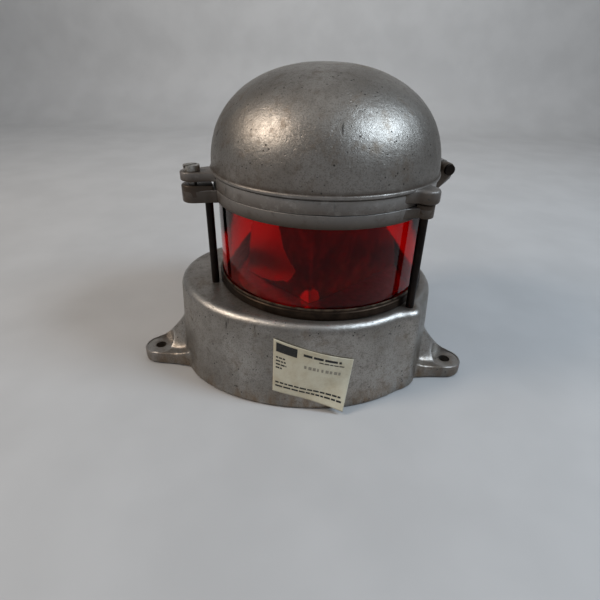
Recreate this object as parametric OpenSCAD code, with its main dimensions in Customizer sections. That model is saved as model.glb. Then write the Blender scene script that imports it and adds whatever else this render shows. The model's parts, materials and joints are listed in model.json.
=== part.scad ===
// Ship's navigation light: cast base, red cylindrical lens held by three tie rods,
// hinged cast hood with a clamp screw. Millimetres.
// Origin: midway between the two ear holes, on the underside. +X to the right ear, +Z up.

/* [Base casting] */
// Height of the base's top face
base_top_z = 76; // [72:1:80]
// Half width of the front ellipse at the floor
base_half_w = 108; // [106:1:109]
// Wall thickness of the base
base_wall = 5.5; // [4.5:0.5:7]
// Thickness of the base's top
base_roof = 7; // [6:0.5:9]
// Radius of the rounded shoulder
shoulder_r = 7; // [5:1:9]

/* [Mounting ears] */
// Distance between the two ear holes
ear_spacing = 262; // [256:1:270]
// Radius of an ear's rounded end
ear_r = 14.5; // [13:0.5:16]
// Height of an ear's pad
ear_z = 12; // [9:0.5:14]
// Radius of an ear's hole
ear_hole_r = 4.75; // [3.5:0.25:5.5]

/* [Lens and rings] */
// Lens axis, sideways from the ears' midpoint
lens_x = 14; // [12:0.5:16]
// Lens axis, behind the ears' line
lens_y = 42; // [40:0.5:44]
// Outer radius of the red lens
lens_r = 88; // [86:0.2:88.2]
// Wall of the red lens
lens_wall = 5; // [4:0.5:6]
// Height from the base's top to the upper ring's underside
lens_window = 72.6; // [66:0.2:78]
// Outer radius of the lower ring
low_ring_r = 90.6; // [90:0.2:91]

/* [Tie rods] */
// Radius of the circle of tie rods
rod_circle_r = 96; // [95:0.5:98]
// Tie rod radius
rod_r = 3.2; // [2.8:0.1:3.6]

/* [Hood] */
// Radius of the hood's flange band
flange_r = 91; // [90.5:0.1:92]
// Radius of the dome where it meets the bead
dome_r = 91.8; // [91:0.1:93]
// Height of the dome above the bead
dome_h = 73.7; // [68:0.1:80]
// Wall thickness of the dome
dome_wall = 5; // [4:0.5:6]
// Squareness of the dome's curve, 2 is a plain ellipse
dome_power = 2.2; // [2:0.05:2.4]

/* [Clamp and hinge] */
// Distance of the clamp screw from the lens axis
clamp_r = 107; // [106.5:0.5:109]
// Radius of the clamp screw's shank
screw_r = 3.2; // [2.8:0.1:3.4]
// Distance of the hinge pin from the lens axis
hinge_r = 108.5; // [108:0.5:110]
// Radius of the hinge pin
pin_r = 3; // [2.5:0.1:3.4]

/* [Hidden] */
$fn = 96;

rod_angles = [80, 200, 320];
clamp_angle = 199;
hinge_angle = 19;

ring_low_z = base_top_z + lens_window;
ring_top_z = ring_low_z + 10;
hood_low_z = ring_top_z + 0.3;
flange_top_z = hood_low_z + 9.6;
bead_top_z = flange_top_z + 4.4;
hood_top_z = bead_top_z + dome_h;
lens_in_r = lens_r - lens_wall;
groove_out_r = lens_r + 0.3;
gasket_t = 2;
lens_low_z = base_top_z + 3 + gasket_t;
lens_top_z = ring_low_z + 6.6 - gasket_t;
clamp_lug_z = hood_low_z + 6.5;
clamp_lug_t = 6.6;
clamp_lug_r = 9;
rod_lug_r = 6.4;
hood_boss_r = 9;
hinge_z = hood_low_z + 7.1;
knuckle_r = 6.8;
ledge_z = 6.5;
plate_t = 3;
roof_low_z = base_top_z - base_roof;
slice_t = 0.4;
screen_t = 1.2;
screen_z = base_top_z + 2.3;
screen_h = lens_window - 1.5;
apex_x = 7;
apex_y = -20;
lamp_screw_r = 40;
block_x = 57;
block_y = 66;
plate_screw_points = [[-76, 22], [-30, -30], [45, -30], [86, 55], [40, 117], [-45, 106]];

function mix(a, b, k) = a + (b - a) * k;

module at_lens() {
    translate([lens_x, lens_y, 0]) children();
}

module at_polar(angle, radius) {
    at_lens() rotate([0, 0, angle]) translate([radius, 0, 0]) children();
}

module ring(r_out, r_in, z_low, z_high) {
    rotate_extrude()
        translate([r_in, z_low]) square([r_out - r_in, z_high - z_low]);
}

// ---------- the base's outline ----------

module base_shapes(k, inset) {
    half_w = mix(base_half_w, base_half_w + 1.5, k) - inset;
    half_d = mix(73, 91.5, k) - inset;
    translate([0, mix(10, 36, k)])
        scale([1, half_d / half_w]) circle(r = half_w);
    translate([lens_x, lens_y]) circle(r = mix(101, 98, k) - inset);
    // fuller sides behind the ears
    for (s = [-1, 1])
        translate([s * mix(44, 46, k), 38]) circle(r = mix(70, 65, k) - inset);
    for (a = rod_angles)
        translate([lens_x, lens_y]) rotate(a) translate([rod_circle_r, 0])
            circle(r = max(11 - inset, 0.5));
}

module base_layer(z, inset) {
    translate([0, 0, z - slice_t])
        linear_extrude(slice_t) base_shapes(z / base_top_z, inset);
}

module base_solid(grow = 0, $fn = 44) {
    hull() {
        base_layer(slice_t, -grow);
        base_layer(base_top_z - shoulder_r, -grow);
        for (a = [30, 60, 90])
            base_layer(base_top_z - shoulder_r * (1 - sin(a)), shoulder_r * 0.9 * (1 - cos(a)) - grow);
    }
}

module chamber($fn = 28) {
    hull() {
        base_layer(ledge_z + 4, base_wall);
        base_layer(roof_low_z - 6, base_wall);
        base_layer(roof_low_z, base_wall + 6);
    }
}

module flat_inset(z, height, inset, $fn = 44) {
    translate([0, 0, z]) linear_extrude(height) hull() base_shapes(0, inset);
}

// ---------- base casting ----------

module ear_plan() {
    // seen from above: a round pad running into the wall
    translate([ear_spacing / 2, 0]) circle(r = ear_r);
    polygon([[88, -22], [97, -ear_r - 1.5], [ear_spacing / 2, -ear_r + 0.02],
             [ear_spacing / 2, ear_r - 0.02], [102, ear_r + 5], [88, ear_r + 12]]);
}

module ear_side_cut() {
    // seen from the front: a hollow curve falling from the wall to the pad
    tip = ear_spacing / 2 + 9;
    polygon(concat(
        [[88, 0], [ear_spacing / 2 + ear_r + 1, 0], [ear_spacing / 2 + ear_r + 1, ear_z]],
        [for (i = [0:8]) [mix(tip, 107, i / 8), ear_z + 29 * pow(i / 8, 1.7)]],
        [[88, ear_z + 29]]
    ));
}

module ear_end_cut() {
    // seen from the side: the gusset stands along the rear edge
    polygon(concat(
        [[-40, 0], [-40, ear_z + 1], [-14, ear_z + 1]],
        [for (i = [0:6]) [mix(-8, 10, i / 6), ear_z + 2 + 27 * (1 - cos(30 * i)) / 2]],
        [[40, ear_z + 29], [40, 0]]
    ));
}

module ear() {
    linear_extrude(ear_z) ear_plan();
    intersection() {
        linear_extrude(ear_z + 29) ear_plan();
        translate([0, 50, 0]) rotate([90, 0, 0]) linear_extrude(100) ear_side_cut();
        translate([80, 0, 0]) rotate([90, 0, 90]) linear_extrude(80) ear_end_cut();
    }
}

module base_casting() color([0.62, 0.61, 0.58]) {
    difference() {
        union() {
            difference() {
                union() {
                    base_solid();
                    ear();
                    mirror([1, 0, 0]) ear();
                }
                chamber();
                flat_inset(-1, ledge_z + 1, base_wall);
                flat_inset(ledge_z - 0.01, 5, base_wall + 8);
            }
            // lugs for the bottom plate's screws
            for (p = plate_screw_points)
                translate([p.x, p.y, ledge_z]) cylinder(h = roof_low_z - ledge_z + 1, r = 5.5);
            // boss for the cable gland
            translate([0, 118, 34]) rotate([-90, 0, 0]) cylinder(h = 27, r = 17);
        }
        // holes for the tie rods, and flat seats for their nuts
        for (a = rod_angles) {
            at_polar(a, rod_circle_r) translate([0, 0, roof_low_z - 10])
                cylinder(h = base_roof + 20, r = rod_r + 0.05);
            at_polar(a, rod_circle_r) translate([0, 0, roof_low_z - 13])
                cylinder(h = 12.5, r = 7.2);
        }
        for (p = plate_screw_points)
            translate([p.x, p.y, -1]) cylinder(h = 20, r = 2.05);
        // ear holes, each with a flat spot face for the bolt's head
        for (s = [-1, 1]) {
            translate([s * ear_spacing / 2, 0, -1]) cylinder(h = ear_z + 30, r = ear_hole_r);
            translate([s * ear_spacing / 2, 0, ear_z]) cylinder(h = 40, r = ear_r - 1.9);
        }
        // wiring and socket opening under the lamp
        at_lens() translate([0, 0, roof_low_z - 1]) cylinder(h = base_roof + 2, r = 24);
        for (a = [30, 150, 270])
            at_polar(a, lamp_screw_r) translate([0, 0, roof_low_z - 1]) cylinder(h = base_roof + 2, r = 2.05);
        translate([0, 110, 34]) rotate([-90, 0, 0]) cylinder(h = 40, r = 10.05);
        // ground screw and terminal block holes, drilled up into the roof
        translate([-55, 20, roof_low_z - 1]) cylinder(h = 6, r = 2.05);
        for (s = [-1, 1])
            translate([block_x + s * 16, block_y, roof_low_z - 1]) cylinder(h = 6, r = 1.55);
    }
}

module bottom_plate() color([0.55, 0.55, 0.53])
    difference() {
        flat_inset(0.8, plate_t, base_wall + 0.5);
        for (p = plate_screw_points)
            translate([p.x, p.y, -1]) cylinder(h = 8, r = 2.3);
        for (p = plate_screw_points)
            translate([p.x, p.y, 0.5]) cylinder(h = 1.6, r = 4.4);
    }

module bottom_gasket() color([0.12, 0.12, 0.12])
    difference() {
        flat_inset(0.8 + plate_t, ledge_z - plate_t - 0.85, base_wall + 0.8);
        flat_inset(0, 10, base_wall + 7.5);
        for (p = plate_screw_points)
            translate([p.x, p.y, 0]) cylinder(h = 10, r = 2.6);
    }

module countersunk(head_r, head_h, shank_r, length) {
    // head down, shank up, with a screwdriver slot
    difference() {
        union() {
            cylinder(h = head_h, r = head_r);
            cylinder(h = length, r = shank_r);
        }
        translate([-head_r - 1, -0.5, -1]) cube([2 * head_r + 2, 1, 1 + head_h * 0.45]);
    }
}

module bottom_screws() color([0.7, 0.68, 0.62])
    for (p = plate_screw_points)
        translate([p.x, p.y, 0.5]) countersunk(4.2, 1.5, 2, 16);

module ground_screw() color([0.35, 0.6, 0.35])
    translate([-55, 20, roof_low_z - 5]) {
        countersunk(4.5, 2.6, 2, 9);
        translate([0, 0, 3.2]) difference() {
            cylinder(h = 1.2, r = 5);
            translate([0, 0, -1]) cylinder(h = 4, r = 2.05);
        }
    }

// ---------- cable entry ----------

module gland_axis() {
    translate([0, 145.2, 34]) rotate([-90, 0, 0]) children();
}

module hexagon(across, height) {
    intersection_for (a = [0, 60, 120])
        rotate([0, 0, a]) translate([-across / 2, -across, 0]) cube([across, 2 * across, height]);
}

module gland_body() color([0.72, 0.6, 0.3])
    gland_axis() difference() {
        union() {
            translate([0, 0, -26]) cylinder(h = 27, r = 10);
            hexagon(27, 7);
            cylinder(h = 17, r = 11);
        }
        translate([0, 0, -27]) cylinder(h = 50, r = 7.3);
        translate([0, 0, 8]) cylinder(h = 20, r = 8.6);
    }

module gland_seal() color([0.1, 0.1, 0.1])
    gland_axis() difference() {
        translate([0, 0, 8.1]) cylinder(h = 9.5, r = 8.5);
        cylinder(h = 30, r = 5);
    }

module gland_nut() color([0.72, 0.6, 0.3])
    gland_axis() difference() {
        translate([0, 0, 8.5]) hexagon(27, 14);
        translate([0, 0, 8]) cylinder(h = 9.8, r = 11.1);
        cylinder(h = 30, r = 7);
    }

// ---------- wiring in the base ----------

module terminal_block() color([0.15, 0.14, 0.13])
    translate([block_x, block_y, roof_low_z]) difference() {
        union() {
            translate([-22, -11, -6]) cube([44, 22, 5.9]);
            for (x = [-11.5, -0.8, 9.9])
                translate([x, -11, -14]) cube([1.6, 22, 9]);
            translate([-11.5, -11, -9]) cube([23, 22, 4]);
        }
        for (s = [-1, 1])
            translate([s * 16, 0, -20]) cylinder(h = 30, r = 1.7);
        for (x = [-5.5, 5.5], y = [-6, 6])
            translate([x, y, -20]) cylinder(h = 18, r = 1.55);
    }

module terminal_screws() color([0.75, 0.62, 0.3])
    for (x = [-5.5, 5.5], y = [-6, 6])
        translate([block_x + x, block_y + y, roof_low_z - 12.2]) countersunk(3.2, 2, 1.5, 9);

module terminal_block_screws() color([0.7, 0.7, 0.7])
    for (s = [-1, 1])
        translate([block_x + s * 16, block_y, roof_low_z - 8.1]) countersunk(3, 2, 1.5, 12);

module wire(from, bend, to, r = 1.4, $fn = 24) {
    for (run = [[bend, from], [bend, to]]) {
        way = run[1] - run[0];
        length = norm(way);
        translate(bend)
            rotate([0, acos(way.z / length), atan2(way.y, way.x)]) cylinder(h = length, r = r);
    }
    translate(bend) sphere(r = r);
}

module internal_leads() color([0.1, 0.1, 0.12]) {
    // from the terminal block down to the underside of the lamp socket
    high_z = roof_low_z - 11.5;
    wire([block_x - 5.4, block_y - 11, high_z], [block_x - 5.4, block_y - 20, 50],
         [lens_x + 1, lens_y, 48.2]);
    wire([block_x + 5.4, block_y - 11, high_z], [block_x + 5.4, block_y - 24, 50],
         [lens_x + 9, lens_y - 8, 48.2]);
}

// ---------- lens and its rings ----------

module lower_lens_ring() color([0.2, 0.17, 0.14])
    at_lens() rotate_extrude()
        translate([0, base_top_z])
            polygon([[76, 0], [low_ring_r, 0], [low_ring_r, 8.6], [low_ring_r - 1, 9.6],
                     [groove_out_r, 9.6], [groove_out_r, 3], [76, 3]]);

module lower_lens_gasket() color([0.08, 0.08, 0.08])
    at_lens() ring(lens_r, lens_in_r, base_top_z + 3, lens_low_z);

module lens() color([0.6, 0.05, 0.04, 0.6])
    at_lens() ring(lens_r, lens_in_r, lens_low_z, lens_top_z);

module upper_lens_gasket() color([0.08, 0.08, 0.08])
    at_lens() ring(lens_r, lens_in_r, lens_top_z, ring_low_z + 6.6);

module lug_root(start_r, half_w, flare) {
    // a lug's root, wider where it leaves the band, drawn from above along +X
    polygon([[start_r, -half_w - flare], [91.5, -half_w - flare / 3], [rod_circle_r, -half_w],
             [rod_circle_r, half_w], [91.5, half_w + flare / 3], [start_r, half_w + flare]]);
}

module ring_profile() {
    lip_r = 80.5;
    polygon([[groove_out_r, ring_low_z], [flange_r - 0.6, ring_low_z], [flange_r - 0.2, ring_top_z],
             [lip_r, ring_top_z],
             [lip_r, ring_top_z + 3.6], [77, ring_top_z + 3.6], [77, ring_low_z + 6.6],
             [groove_out_r, ring_low_z + 6.6]]);
}

module hinge_ear() {
    // one ear of the ring's hinge, drawn in the radial plane
    rotate([90, 0, 0]) translate([0, 0, -4.8]) linear_extrude(9.6) {
        translate([hinge_r, hinge_z]) circle(r = knuckle_r);
        polygon([[86, ring_low_z + 0.2], [hinge_r - 7, ring_low_z + 0.2],
                 [hinge_r + knuckle_r - 0.3, hinge_z - 3], [hinge_r, hinge_z],
                 [hinge_r - knuckle_r, hinge_z - 3], [hinge_r - 10, ring_top_z - 0.2],
                 [86, ring_top_z - 0.2]]);
    }
}

module upper_ring() color([0.6, 0.59, 0.56])
    difference() {
        union() {
            at_lens() rotate_extrude() ring_profile();
            // lugs over the tie rods
            for (a = [80, 320]) {
                at_polar(a, rod_circle_r) translate([0, 0, ring_low_z + 2.4])
                    cylinder(h = 7.6, r = rod_lug_r);
                at_polar(a, 0) translate([0, 0, ring_low_z + 2.4])
                    linear_extrude(7.6) lug_root(86, rod_lug_r, 6);
                // raised beside the hood's band
                at_polar(a, 0) translate([0, 0, ring_low_z + 6])
                    linear_extrude(6.5) difference() {
                        translate([rod_circle_r, 0]) circle(r = rod_lug_r - 0.3);
                        circle(r = flange_r + 0.5);
                    }
            }
            // long lug for the left tie rod and the clamp screw
            at_polar(clamp_angle, 86) translate([0, -clamp_lug_r, ring_low_z])
                cube([clamp_r - 86, 2 * clamp_lug_r, 10]);
            at_polar(clamp_angle, 92.4) translate([0, -clamp_lug_r, ring_low_z])
                cube([clamp_r - 92.4, 2 * clamp_lug_r, 13.5]);
            at_polar(clamp_angle, clamp_r) translate([0, 0, ring_low_z])
                cylinder(h = 13.5, r = clamp_lug_r);
            for (s = [-1, 1])
                at_polar(hinge_angle, 0) translate([0, s * 10.2, 0]) hinge_ear();
        }
        // the lens's groove and bore stay clear of the lugs
        at_lens() translate([0, 0, ring_low_z - 1]) cylinder(h = 7.6, r = groove_out_r);
        at_lens() translate([0, 0, ring_low_z - 1]) cylinder(h = 20, r = 77);
        for (a = rod_angles)
            at_polar(a, rod_circle_r) translate([0, 0, ring_low_z - 1])
                cylinder(h = 9.1, r = rod_r + 0.05);
        at_polar(clamp_angle, clamp_r) translate([0, 0, ring_low_z - 1])
            cylinder(h = 20, r = screw_r + 0.9);
        at_polar(hinge_angle, hinge_r) translate([0, 20, hinge_z]) rotate([90, 0, 0])
            cylinder(h = 40, r = pin_r + 0.02);
    }

module tie_rods() color([0.22, 0.17, 0.13])
    for (a = rod_angles)
        at_polar(a, rod_circle_r) translate([0, 0, roof_low_z - 12.5])
            cylinder(h = ring_low_z + 8 - roof_low_z + 12.5, r = rod_r);

module tie_rod_nuts() color([0.5, 0.48, 0.42])
    for (a = rod_angles)
        at_polar(a, rod_circle_r) translate([0, 0, roof_low_z - 6.2]) difference() {
            hexagon(11, 5.6);
            translate([0, 0, -1]) cylinder(h = 8, r = rod_r + 0.05);
        }

// ---------- lamp ----------

module lamp_plate() color([0.5, 0.5, 0.5])
    at_lens() difference() {
        translate([0, 0, base_top_z + 0.1]) cylinder(h = 2, r = 72);
        translate([0, 0, base_top_z - 1]) cylinder(h = 5, r = 19.2);
        for (a = [30, 150, 270])
            rotate([0, 0, a]) translate([lamp_screw_r, 0, base_top_z - 1])
                cylinder(h = 5, r = 2.1);
    }

module lamp_plate_screws() color([0.72, 0.7, 0.62])
    for (a = [30, 150, 270])
        at_polar(a, lamp_screw_r) translate([0, 0, base_top_z + 5]) mirror([0, 0, 1])
            countersunk(4, 2.8, 2, 11);

module lamp_socket() color([0.85, 0.83, 0.78])
    at_lens() difference() {
        union() {
            translate([0, 0, 52]) cylinder(h = 44, r = 19);
            translate([0, 0, base_top_z + 2.2]) cylinder(h = 3, r = 23);
        }
        translate([0, 0, 60]) cylinder(h = 40, r = 14);
        translate([0, 0, 50]) cylinder(h = 20, r = 3.1);
    }

module socket_contact() color([0.75, 0.6, 0.3])
    at_lens() translate([0, 0, 50.5]) {
        cylinder(h = 10, r = 3);
        translate([0, 0, 9.6]) cylinder(h = 1.6, r = 6);
    }

module lamp_cap() color([0.75, 0.65, 0.35])
    at_lens() {
        translate([0, 0, 62.2]) cylinder(h = 3, r1 = 4.5, r2 = 9, $fn = 48);
        difference() {
            translate([0, 0, 65.2]) cylinder(h = 27, r = 13.2);
            translate([0, 0, 80]) cylinder(h = 30, r = 12.2);
        }
    }

module bulb_outline(wall) {
    // straight neck widening to a round end
    r = 21 - wall;
    neck = 11.6 - wall;
    polygon(concat(
        [[0, 80.5 + wall], [neck, 80.5 + wall], [neck, 98]],
        [for (i = [1:6]) [mix(neck, r, (1 - cos(30 * i)) / 2), 98 + 3.5 * i]],
        [for (i = [0:12]) [r * cos(7.5 * i), 119 + r * sin(7.5 * i)]]
    ));
}

module lamp_bulb() color([0.9, 0.9, 0.85, 0.5])
    at_lens() rotate_extrude() difference() {
        bulb_outline(0);
        bulb_outline(1);
    }

module lamp_filament() color([0.6, 0.6, 0.6])
    at_lens() {
        translate([0, 0, 81.8]) cylinder(h = 14, r = 3.5);
        for (s = [-1, 1])
            translate([s * 2.5, 0, 95]) cylinder(h = 23, r = 0.5, $fn = 16);
        translate([-3, 0, 118]) rotate([0, 90, 0]) cylinder(h = 6, r = 0.9, $fn = 16);
    }

// ---------- light screen: a bent sheet, its edge towards the front ----------

module leaf(length, cut_u, cut_z) {
    // one leaf in its own plane, along +X from the bend; its upper outer corner is cut off
    rotate([90, 0, 0]) linear_extrude(screen_t)
        polygon([[0, 0], [length, 0], [length, cut_z], [cut_u, screen_h], [0, screen_h]]);
}

module leaf_tab(place) {
    // a foot folded back onto the lamp plate
    translate([place - 7, 0.02 - screen_t, 0]) cube([14, 14, screen_t]);
}

module light_screen() color([0.12, 0.11, 0.1])
    translate([apex_x, apex_y, screen_z]) {
        rotate([0, 0, 45]) translate([screen_t, screen_t, 0]) {
            leaf(110, 48, 16);
            leaf_tab(46);
        }
        rotate([0, 0, 135]) mirror([0, 1, 0]) translate([screen_t, screen_t, 0]) {
            leaf(82, 48, 32);
            leaf_tab(42);
        }
        rotate([0, 0, 45]) cube([screen_t + 0.02, screen_t + 0.02, screen_h]);
    }

module screen_rivets() color([0.5, 0.48, 0.45])
    translate([apex_x, apex_y, screen_z + screen_t + 0.02]) {
        rotate([0, 0, 45]) translate([screen_t + 46, screen_t + 8, 0]) cylinder(h = 1.6, r = 2.6);
        rotate([0, 0, 135]) translate([screen_t + 42, -screen_t - 8, 0]) cylinder(h = 1.6, r = 2.6);
    }

// ---------- hood ----------

function dome_curve(r, h, low_z, steps) = [
    for (i = [0:steps])
        let (t = 90 * i / steps, e = 2 / dome_power)
            [i == steps ? 0 : r * pow(cos(t), e), low_z + h * pow(sin(t), e)]
];

module hood_profile() {
    in_r = 82.5;
    polygon(concat(
        [[in_r, hood_low_z], [flange_r, hood_low_z], [flange_r, flange_top_z],
         [flange_r - 1.2, flange_top_z + 0.5], [flange_r - 1.2, flange_top_z + 1.1],
         [dome_r + 0.6, flange_top_z + 1.5], [dome_r + 1.2, flange_top_z + 2.6],
         [dome_r + 0.6, bead_top_z - 0.4]],
        dome_curve(dome_r, dome_h, bead_top_z, 20),
        [for (i = [20:-1:0]) dome_curve(dome_r - dome_wall, dome_h - dome_wall, bead_top_z, 20)[i]],
        [[in_r + 1, flange_top_z], [in_r, flange_top_z - 2]]
    ));
}

module hood_casting() color([0.64, 0.63, 0.6])
    difference() {
        union() {
            at_lens() rotate_extrude() hood_profile();
            // clamp lug
            at_polar(clamp_angle, 85.5) translate([0, -clamp_lug_r, clamp_lug_z])
                cube([clamp_r - 85.5, 2 * clamp_lug_r, clamp_lug_t]);
            at_polar(clamp_angle, clamp_r) translate([0, 0, clamp_lug_z])
                cylinder(h = clamp_lug_t, r = clamp_lug_r);
            // blind bosses over the front and rear tie rods
            for (a = [80, 320]) {
                at_polar(a, rod_circle_r) translate([0, 0, hood_low_z + 2.6])
                    cylinder(h = 9.3, r = hood_boss_r);
                at_polar(a, 0) translate([0, 0, hood_low_z + 2.6])
                    linear_extrude(9.3) lug_root(88.6, hood_boss_r, 7);
            }
            // hinge tongue
            at_polar(hinge_angle, 0) rotate([90, 0, 0]) translate([0, 0, -5.2])
                linear_extrude(10.4) {
                    translate([hinge_r, hinge_z]) circle(r = knuckle_r - 0.4);
                    polygon([[85.5, hinge_z - 4], [hinge_r, hinge_z - 4], [hinge_r, hinge_z + 7.1],
                             [hinge_r - 4, hinge_z + 7.1], [91, hinge_z + 9], [86.5, hinge_z + 9]]);
                }
        }
        // gasket groove in the underside
        at_lens() ring(88.5, 84.5, hood_low_z - 1, hood_low_z + 2.6);
        at_polar(clamp_angle, clamp_r) translate([0, 0, clamp_lug_z - 1])
            cylinder(h = 10, r = screw_r + 0.06);
        at_polar(hinge_angle, hinge_r) translate([0, 20, hinge_z]) rotate([90, 0, 0])
            cylinder(h = 40, r = pin_r + 0.06);
    }

module hood_gasket() color([0.1, 0.1, 0.1])
    at_lens() ring(88.4, 84.6, hood_low_z + 0.02, hood_low_z + 2.5);

module clamp_screw() color([0.6, 0.58, 0.54])
    at_polar(clamp_angle, clamp_r) {
        head_z = clamp_lug_z + clamp_lug_t + 0.3;
        difference() {
            union() {
                translate([0, 0, head_z]) cylinder(h = 4.2, r = 6.3);
                translate([0, 0, head_z - 17.5]) cylinder(h = 18, r = screw_r);
            }
            rotate([0, 0, 35]) translate([-8, -0.8, head_z + 2.4]) cube([16, 1.6, 3]);
        }
    }

module hinge_pin() color([0.45, 0.42, 0.36])
    at_polar(hinge_angle, hinge_r) translate([0, 0, hinge_z]) rotate([90, 0, 0]) {
        translate([0, 0, -18.5]) cylinder(h = 35.5, r = pin_r);
        translate([0, 0, 15.2]) cylinder(h = 2.2, r = pin_r + 1.6);
    }

module hinge_pin_clip() color([0.3, 0.28, 0.26])
    at_polar(hinge_angle, hinge_r) translate([0, 0, hinge_z]) rotate([90, 0, 0])
        translate([0, 0, -16.8]) difference() {
            cylinder(h = 1.4, r = pin_r + 2);
            translate([0, 0, -1]) cylinder(h = 4, r = pin_r + 0.02);
        }

// ---------- generic paper label on the front ----------

module maker_label() color([0.86, 0.84, 0.78]) {
    // a sheet on the front wall, which is close to a cone of this radius
    wall_r = 159;
    lean = 6.5;
    low_r = wall_r + 0.75;
    translate([3, 0, 0]) intersection() {
        translate([0, 96.4, 0]) rotate_extrude($fn = 360)
            polygon([[low_r, 0], [low_r + 0.3, 0], [low_r + 0.3 - lean, base_top_z],
                     [low_r - lean, base_top_z]]);
        translate([0, -30, 0]) rotate([90, 0, 0]) linear_extrude(60)
            polygon([[-21.4, 64], [40.7, 46], [36.5, 9], [-22.5, 17]]);
    }
}

base_casting();
bottom_plate();
bottom_gasket();
bottom_screws();
ground_screw();
gland_body();
gland_seal();
gland_nut();
terminal_block();
terminal_screws();
terminal_block_screws();
internal_leads();
lower_lens_ring();
lower_lens_gasket();
lens();
upper_lens_gasket();
upper_ring();
tie_rods();
tie_rod_nuts();
lamp_plate();
lamp_plate_screws();
lamp_socket();
socket_contact();
lamp_cap();
lamp_bulb();
lamp_filament();
light_screen();
screen_rivets();
hinge_pin();
hinge_pin_clip();
clamp_screw();
hood_casting();
hood_gasket();
maker_label();
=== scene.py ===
import json
import math
import random

import bmesh
import bpy
import numpy as np
from mathutils import Matrix, Vector, noise


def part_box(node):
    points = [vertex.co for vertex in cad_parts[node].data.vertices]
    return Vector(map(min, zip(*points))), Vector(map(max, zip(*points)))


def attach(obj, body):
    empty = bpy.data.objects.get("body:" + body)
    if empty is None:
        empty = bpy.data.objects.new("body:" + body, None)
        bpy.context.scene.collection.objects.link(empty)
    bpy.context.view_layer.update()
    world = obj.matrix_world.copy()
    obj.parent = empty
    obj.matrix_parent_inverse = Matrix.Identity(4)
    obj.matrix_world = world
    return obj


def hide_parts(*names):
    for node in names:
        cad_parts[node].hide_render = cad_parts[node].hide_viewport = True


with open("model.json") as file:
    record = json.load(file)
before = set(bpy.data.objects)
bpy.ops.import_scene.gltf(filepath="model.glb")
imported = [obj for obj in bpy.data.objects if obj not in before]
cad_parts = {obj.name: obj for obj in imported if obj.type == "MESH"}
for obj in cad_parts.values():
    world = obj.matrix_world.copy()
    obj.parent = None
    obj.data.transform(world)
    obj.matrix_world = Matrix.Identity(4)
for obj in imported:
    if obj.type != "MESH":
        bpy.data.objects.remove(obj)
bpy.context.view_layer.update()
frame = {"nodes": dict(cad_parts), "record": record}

MM = 0.001

# ---------- sizes in millimetres, most of them read from the CAD frame ----------


def box_mm(node):
    low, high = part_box(node)
    return np.array(low) / MM, np.array(high) / MM


base_high = box_mm("base_casting")[1]
lens_low, lens_high = box_mm("lens")
low_ring_low, low_ring_high = box_mm("lower_lens_ring")
hood_low, hood_high = box_mm("hood_casting")
ring_low = box_mm("upper_ring")[0]
screw_low, screw_high = box_mm("clamp_screw")
pin_low, pin_high = box_mm("hinge_pin")
screen_low, screen_high = box_mm("light_screen")

LENS_X = (lens_low[0] + lens_high[0]) / 2
LENS_Y = (lens_low[1] + lens_high[1]) / 2
LENS_R = (lens_high[0] - lens_low[0]) / 2
LENS_WALL = 5
GROOVE_R = LENS_R + 0.3
LOW_RING_R = (low_ring_high[0] - low_ring_low[0]) / 2
LOW_RING_BORE_R = 76

# heights of the upper ring and the hood
RING_LOW = ring_low[2]
RING_GROOVE_TOP = RING_LOW + 6.6
RING_TOP = RING_LOW + 10
LIP_TOP = RING_TOP + 3.6
HOOD_LOW = hood_low[2]
FLANGE_TOP = HOOD_LOW + 9.6
BEAD_TOP = FLANGE_TOP + 4.4
HOOD_TOP = hood_high[2]

# radii about the lens axis
FLANGE_R = 91
HOOD_BORE_R = 82.5
RING_R = 90.8
LIP_R = 80.5
RING_BORE_R = 77
DOME_R, DOME_WALL, DOME_POWER = 91.8, 5.0, 2.2

# tie rods, and the bosses and lugs over two of them
ROD_CIRCLE = 96
LUG_ROD_ANGLES = (80, 320)
BOSS_R = 8.9
ROD_LUG_R = 6.4

# clamp on the left
CLAMP_ANGLE = 199
SCREW_X = (screw_low[0] + screw_high[0]) / 2
SCREW_Y = (screw_low[1] + screw_high[1]) / 2
CLAMP_R = math.hypot(SCREW_X - LENS_X, SCREW_Y - LENS_Y)
CLAMP_LUG_R = 9
CLAMP_LUG_Z = HOOD_LOW + 6.5
CLAMP_LUG_T = 6.6

# hinge on the right
HINGE_ANGLE = 19
HINGE_Z = (pin_low[2] + pin_high[2]) / 2
HINGE_R = 108.5
TONGUE_KNUCKLE_R = 6.4
RING_KNUCKLE_R = 5.6
HINGE_EAR_Y = 10.2

# ears of the base
EAR_R = 14.5
EAR_X = base_high[0] - EAR_R
EAR_Z = 12.0
EAR_HOLE_R = 4.75
SPOT_FACE_R = 12.4

# cable gland's boss at the back
GLAND_BOSS_R = 17
GLAND_BOSS_LENGTH = 7
GLAND_BOSS_PLACE = (0, 138, 34)


# ---------- mesh helpers ----------


def add_object(name, verts_mm, faces, smooth=True):
    mesh = bpy.data.meshes.new(name)
    mesh.from_pydata([tuple(c * MM for c in v) for v in verts_mm], [], faces)
    mesh.validate()
    mesh.update()
    obj = bpy.data.objects.new(name, mesh)
    bpy.context.scene.collection.objects.link(obj)
    if smooth:
        mesh.polygons.foreach_set("use_smooth", [True] * len(mesh.polygons))
    return obj


def recalc(obj):
    bm = bmesh.new()
    bm.from_mesh(obj.data)
    bmesh.ops.recalc_face_normals(bm, faces=bm.faces)
    bm.to_mesh(obj.data)
    bm.free()


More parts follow.
